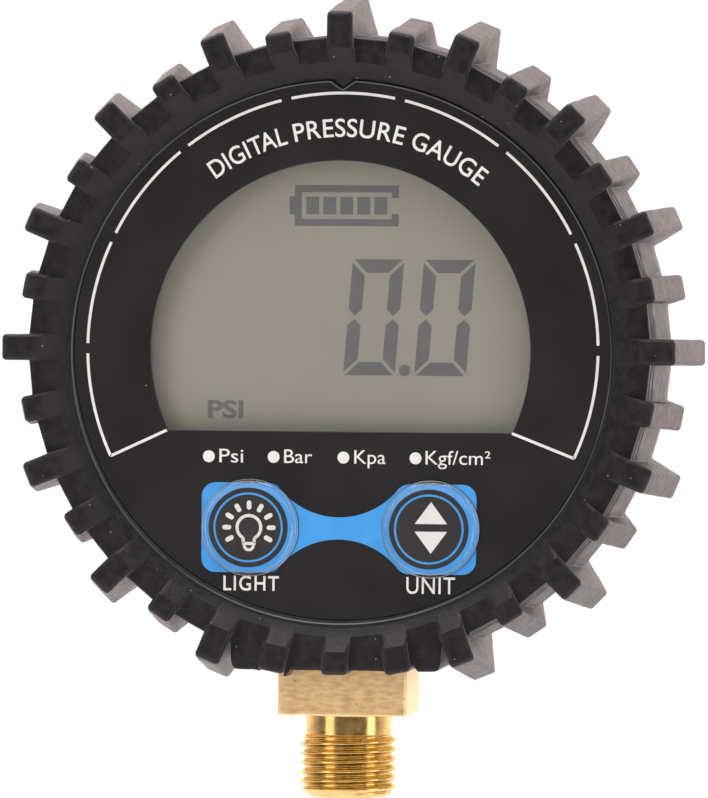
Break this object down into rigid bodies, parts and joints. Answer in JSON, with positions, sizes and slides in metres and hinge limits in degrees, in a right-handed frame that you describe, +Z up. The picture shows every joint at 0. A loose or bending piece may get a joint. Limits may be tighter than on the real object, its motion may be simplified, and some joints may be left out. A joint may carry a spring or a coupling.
{
  "type": "digital tyre pressure gauge",
  "caption": "Round digital pressure gauge in a lugged rubber boot, with a flat display, two push keys, a rear battery door and a threaded brass stem.",
  "frame": {"origin": "on the stem's thread axis, where the thread meets its relief neck", "axes": "+Z up along the thread axis into the head, the dial faces -Y, +X is to the right as the dial is read"},
  "size_m": [0.069, 0.03, 0.078],
  "materials": {
    "boot_rubber": "dusty moulded rubber",
    "case_plastic": "fine-grained black moulding",
    "overlay_print": "printed polycarbonate sheet",
    "clear_plastic": "clear",
    "key_clear": "clear domed key over print",
    "brass": "machined",
    "lcd_glass": "display glass",
    "polariser": "polarising film",
    "light_guide": "white frosted",
    "led": "satin",
    "circuit_board": "solder mask",
    "component": "moulded epoxy",
    "capacitor": "ceramic",
    "steel": "zinc plated",
    "nickel": "nickel plated",
    "switch_plastic": "satin",
    "seal_rubber": "soft",
    "ribbon": "polyimide",
    "zebra": "layered silicone",
    "battery_jacket": "printed jacket"
  },
  "bodies": {
    "head": {"rubber_boot": "boot_rubber", "face_overlay": "overlay_print", "window_lens": "clear_plastic", "front_bezel": "case_plastic", "rear_case": "case_plastic", "case_gasket": "seal_rubber", "case_screws": "steel", "battery_upper": "battery_jacket", "battery_lower": "battery_jacket", "contact_bridge": "nickel", "contact_positive": "nickel", "contact_negative": "nickel", "battery_springs": "nickel", "pressure_stem": "brass", "stem_screws": "steel", "sensor_seal": "seal_rubber", "sensor_capsule": "steel", "sensor_retainer": "brass", "sensor_ribbon": "ribbon", "ribbon_connector": "switch_plastic", "main_board": "circuit_board", "board_screws": "steel", "controller_chip": "component", "timing_crystal": "nickel", "chip_capacitors": "capacitor", "lcd_front_polariser": "polariser", "lcd_front_glass": "lcd_glass", "lcd_rear_glass": "lcd_glass", "lcd_rear_polariser": "polariser", "backlight_guide": "light_guide", "backlight_leds": "led", "lcd_frame": "switch_plastic", "zebra_strip": "zebra", "light_switch_body": "switch_plastic", "unit_switch_body": "switch_plastic"},
    "light_button": {"light_key": "key_clear", "light_switch_plunger": "switch_plastic"},
    "unit_button": {"unit_key": "key_clear", "unit_switch_plunger": "switch_plastic"},
    "battery_cover": {"battery_door": "case_plastic", "door_screws": "steel"}
  },
  "joints": [
    {"name": "light_press", "type": "slide", "parent": "head", "child": "light_button", "axis": [0, 1, 0], "range_m": [0, 0.0004], "stiffness_N_per_m": 400, "springref_m": -0.0005},
    {"name": "unit_press", "type": "slide", "parent": "head", "child": "unit_button", "axis": [0, 1, 0], "range_m": [0, 0.0004], "stiffness_N_per_m": 400, "springref_m": -0.0005},
    {"name": "cover_lift_off", "type": "slide", "parent": "head", "child": "battery_cover", "axis": [0, 1, 0], "range_m": [0, 0.016]}
  ]
}
